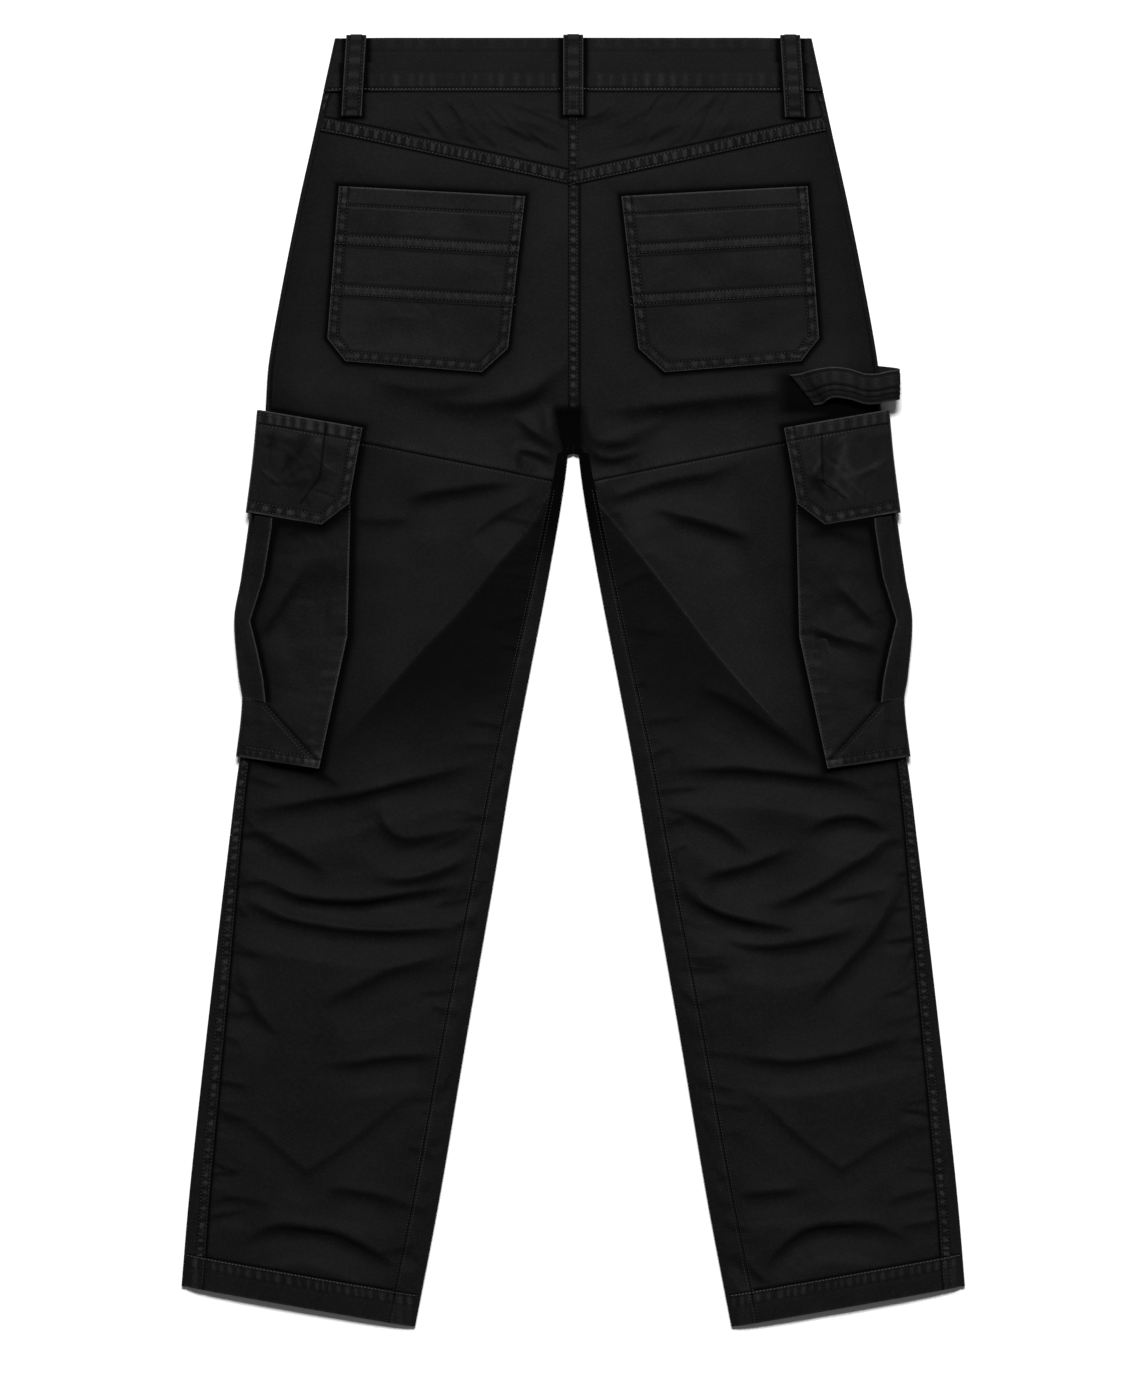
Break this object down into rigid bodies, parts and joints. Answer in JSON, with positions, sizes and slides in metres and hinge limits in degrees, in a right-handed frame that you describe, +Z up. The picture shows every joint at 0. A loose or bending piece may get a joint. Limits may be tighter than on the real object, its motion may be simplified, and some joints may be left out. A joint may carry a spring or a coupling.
{
  "type": "cargo trousers laid flat on their front",
  "caption": "Long cotton twill trousers lying flat, with a yoke, patch pockets, flapped cargo pockets on the thighs and a hammer loop.",
  "frame": {"origin": "on the surface the trousers lie on, under the middle of the whole garment", "axes": "+Y towards the waistband, +X towards the wearer's right leg, +Z up, out of the trousers' back"},
  "size_m": [0.6432, 1.0597, 0.0253],
  "materials": {
    "twill": "garment dyed cotton twill, washed, matt with worn seams",
    "thread": "core spun sewing thread, matt",
    "button": "moulded, satin"
  },
  "bodies": {
    "root": {"waistband": "twill", "belt_loop_back_left": "twill", "belt_loop_back_centre": "twill", "belt_loop_back_right": "twill", "belt_loop_front_left": "twill", "belt_loop_front_right": "twill", "fly_shield": "twill", "yoke_left": "twill", "seat_left": "twill", "back_leg_left": "twill", "front_left": "twill", "front_side_fold_left": "twill", "front_inner_fold_left": "twill", "front_shin_left": "twill", "front_shin_side_fold_left": "twill", "front_shin_inner_fold_left": "twill", "hem_left": "twill", "back_pocket_left": "twill", "cargo_bag_left": "twill", "cargo_gusset_left": "twill", "cargo_pleat_left": "twill", "cargo_flap_left": "twill", "yoke_right": "twill", "seat_right": "twill", "back_leg_right": "twill", "front_right": "twill", "front_side_fold_right": "twill", "front_inner_fold_right": "twill", "front_shin_right": "twill", "front_shin_side_fold_right": "twill", "front_shin_inner_fold_right": "twill", "hem_right": "twill", "back_pocket_right": "twill", "cargo_bag_right": "twill", "cargo_gusset_right": "twill", "cargo_pleat_right": "twill", "cargo_flap_right": "twill", "hammer_loop": "twill", "waist_button": "button"}
  },
  "joints": []
}
